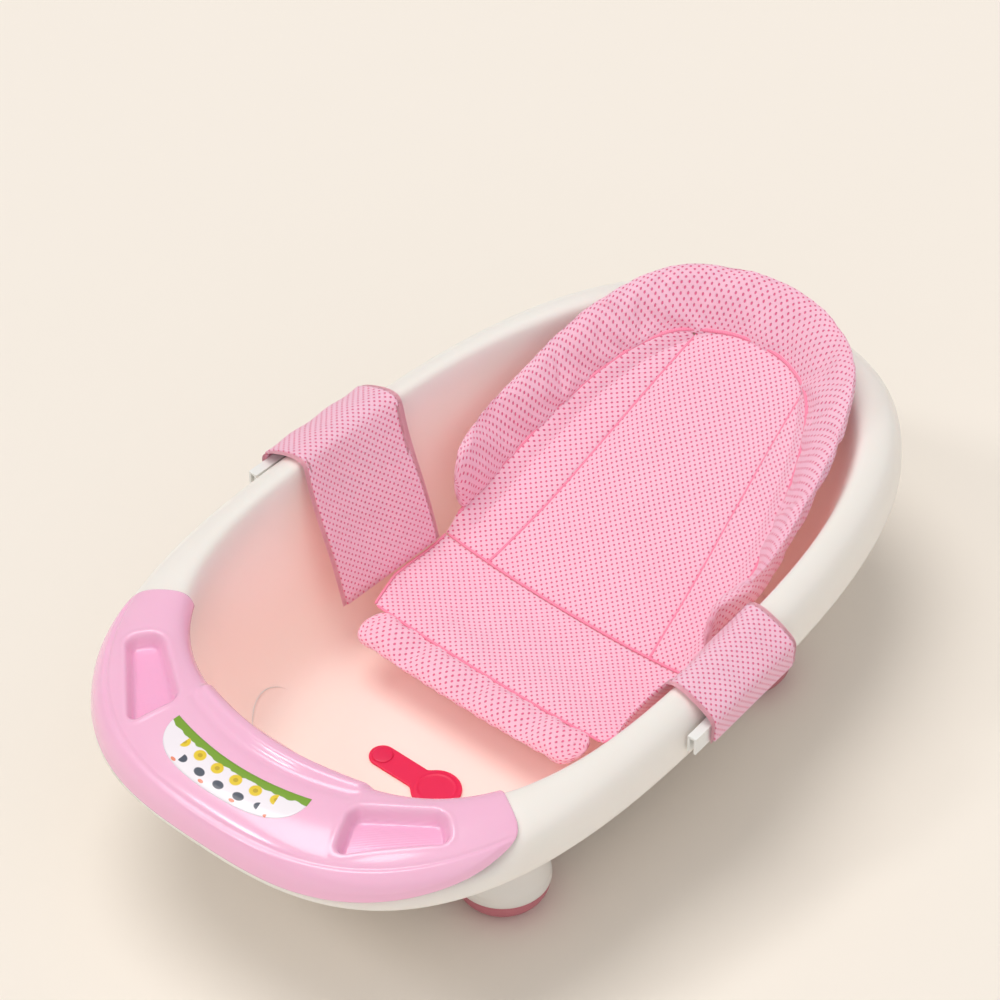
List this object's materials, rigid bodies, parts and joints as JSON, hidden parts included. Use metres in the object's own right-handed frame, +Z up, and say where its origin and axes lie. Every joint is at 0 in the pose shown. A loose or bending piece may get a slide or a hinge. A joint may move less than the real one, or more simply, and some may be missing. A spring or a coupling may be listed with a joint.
{
  "type": "baby bathtub",
  "caption": "Oval plastic baby bathtub with a rolled rim, soap-dish console, drain plug, rubber feet and a clip-on padded mesh bath net.",
  "frame": {"origin": "on the ground under the centre of the bathtub's length and width", "axes": "+X points to the head end, +Y to the sitting baby's right, +Z up"},
  "size_m": [0.8313, 0.518, 0.2575],
  "materials": {
    "shell_plastic": "smooth glossy cream polypropylene",
    "console_plastic": "glossy pink polypropylene",
    "label": "printed white film",
    "screw_steel": "zinc-plated steel",
    "foot_rubber": "matt dusty-pink rubber",
    "plug_silicone": "satin silicone",
    "air_mesh": "knitted polyester air mesh",
    "foam": "open-cell foam",
    "binding_tape": "satin-woven binding tape",
    "hook_plastic": "white extruded plastic"
  },
  "bodies": {
    "tub": {"tub_shell": "shell_plastic", "foot_console": "console_plastic", "temperature_label": "label", "console_screws": "screw_steel", "foot_pad_front_left": "foot_rubber", "foot_pad_front_right": "foot_rubber", "foot_pad_rear_left": "foot_rubber", "foot_pad_rear_right": "foot_rubber", "plug_rivet": "plug_silicone", "plug_anchor": "plug_silicone", "seat_panel": "air_mesh", "back_panel": "air_mesh", "back_gore_left": "air_mesh", "back_gore_right": "air_mesh", "head_bolster": "air_mesh", "head_bolster_foam": "foam", "front_bolster": "air_mesh", "front_bolster_foam": "foam", "flap_left": "air_mesh", "flap_right": "air_mesh", "flap_binding_front_left": "binding_tape", "flap_binding_front_right": "binding_tape", "flap_binding_rear_left": "binding_tape", "flap_binding_rear_right": "binding_tape"},
    "plug": {"drain_plug": "plug_silicone"},
    "hook_left": {"hook_bar_left": "hook_plastic", "flap_tail_left": "air_mesh"},
    "hook_right": {"hook_bar_right": "hook_plastic", "flap_tail_right": "air_mesh"}
  },
  "joints": [
    {"name": "plug_lift", "type": "hinge", "parent": "tub", "child": "plug", "pos_m": [-0.141, 0.025, 0.03685], "axis": [-1, 0, 0], "range_deg": [0, 75]},
    {"name": "hook_right_swing", "type": "hinge", "parent": "tub", "child": "hook_right", "pos_m": [0.01316, 0.25595, 0.202], "axis": [0.9987, -0.051, 0], "range_deg": [0, 60]},
    {"name": "hook_left_swing", "type": "hinge", "parent": "tub", "child": "hook_left", "pos_m": [0.01316, -0.25595, 0.202], "axis": [-0.9987, -0.051, 0], "range_deg": [0, 60]}
  ]
}
